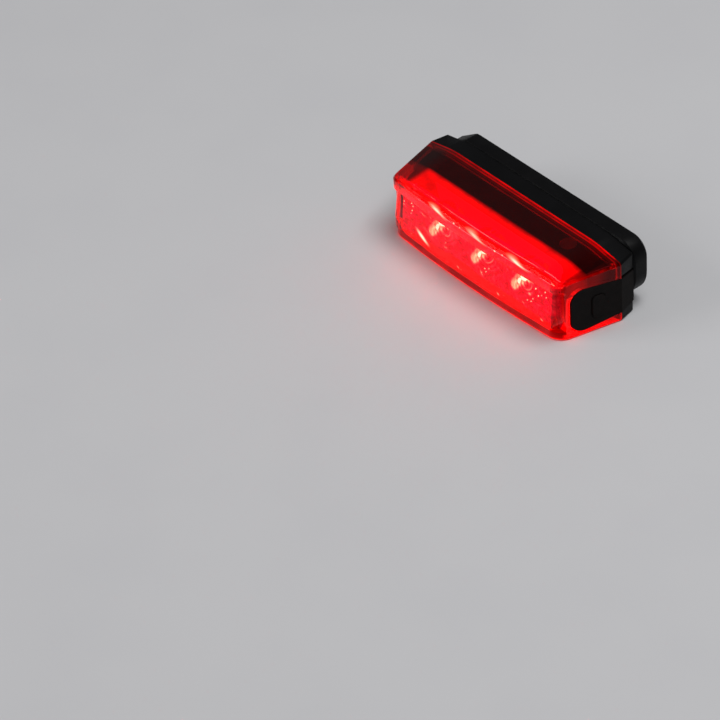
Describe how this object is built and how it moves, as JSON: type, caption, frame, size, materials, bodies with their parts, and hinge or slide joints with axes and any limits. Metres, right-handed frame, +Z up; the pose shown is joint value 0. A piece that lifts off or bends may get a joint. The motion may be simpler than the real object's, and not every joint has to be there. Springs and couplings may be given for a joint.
{
  "type": "bicycle tail light",
  "caption": "Compact bicycle tail light: clear red lens over collimated LEDs, black housing with side button and port flap, and a saddle that straps to a seat post.",
  "frame": {"origin": "centre of the whole light's box in plan, on the flat base that it rests on", "axes": "+X along the light towards the power button's end, +Y from the lens towards the seat post, +Z up"},
  "size_m": [0.0752, 0.0374, 0.0208],
  "materials": {
    "red_polycarbonate": "transparent moulded polycarbonate, polished",
    "clear_acrylic": "clear moulded acrylic, polished",
    "board_white": "white solder mask over aluminium",
    "thermal_silicone": "soft filled silicone",
    "chassis_plastic": "moulded black, fine grain",
    "board_black": "dark solder mask over glass fibre",
    "connector_plastic": "moulded black nylon",
    "chip_epoxy": "moulded epoxy",
    "ferrite": "sintered ferrite",
    "status_diode": "clear epoxy over a small diode",
    "pipe_acrylic": "frosted acrylic",
    "port_steel": "drawn stainless steel",
    "pouch_foil": "laminated foil pouch",
    "foam": "closed-cell foam",
    "red_insulation": "extruded insulation",
    "black_insulation": "extruded insulation",
    "housing_plastic": "moulded black, fine spark texture",
    "screw_steel": "blackened stainless steel",
    "button_rubber": "moulded silicone, matte",
    "skin_rubber": "moulded silicone, matte",
    "plate_plastic": "moulded glass-filled nylon",
    "saddle_rubber": "moulded rubber",
    "led_ceramic": "white ceramic",
    "led_silicone": "clear silicone over a lit die"
  },
  "bodies": {
    "light_body": {"lens_shell": "red_polycarbonate", "optic_array": "clear_acrylic", "led_board": "board_white", "thermal_pad": "thermal_silicone", "chassis": "chassis_plastic", "main_board": "board_black", "board_link": "connector_plastic", "driver_chip": "chip_epoxy", "charge_chip": "chip_epoxy", "inductor": "ferrite", "status_led": "status_diode", "status_light_pipe": "pipe_acrylic", "usb_shell": "port_steel", "usb_tongue": "connector_plastic", "switch_body": "connector_plastic", "battery": "pouch_foil", "battery_pad": "foam", "battery_lead_red": "red_insulation", "battery_lead_black": "black_insulation", "rear_housing": "housing_plastic", "housing_screws": "screw_steel", "board_screws": "screw_steel", "button_boot": "skin_rubber", "flap_anchor": "skin_rubber", "mount_plate": "plate_plastic", "mount_screws": "screw_steel", "saddle_pad": "saddle_rubber", "led_base_left": "led_ceramic", "led_dome_left": "led_silicone", "led_base_centre": "led_ceramic", "led_dome_centre": "led_silicone", "led_base_right": "led_ceramic", "led_dome_right": "led_silicone"},
    "power_button": {"power_button": "button_rubber", "switch_plunger": "connector_plastic"},
    "port_flap": {"port_flap": "skin_rubber"}
  },
  "joints": [
    {"name": "button_press", "type": "slide", "parent": "light_body", "child": "power_button", "axis": [-1, 0, 0], "range_m": [0, 0.0004], "stiffness_N_per_m": 5000},
    {"name": "port_flap_hinge", "type": "hinge", "parent": "light_body", "child": "port_flap", "pos_m": [-0.0371, 0.0032, 0.0098], "axis": [0, 0, -1], "range_deg": [0, 110], "stiffness_Nm_per_rad": 0.002}
  ]
}
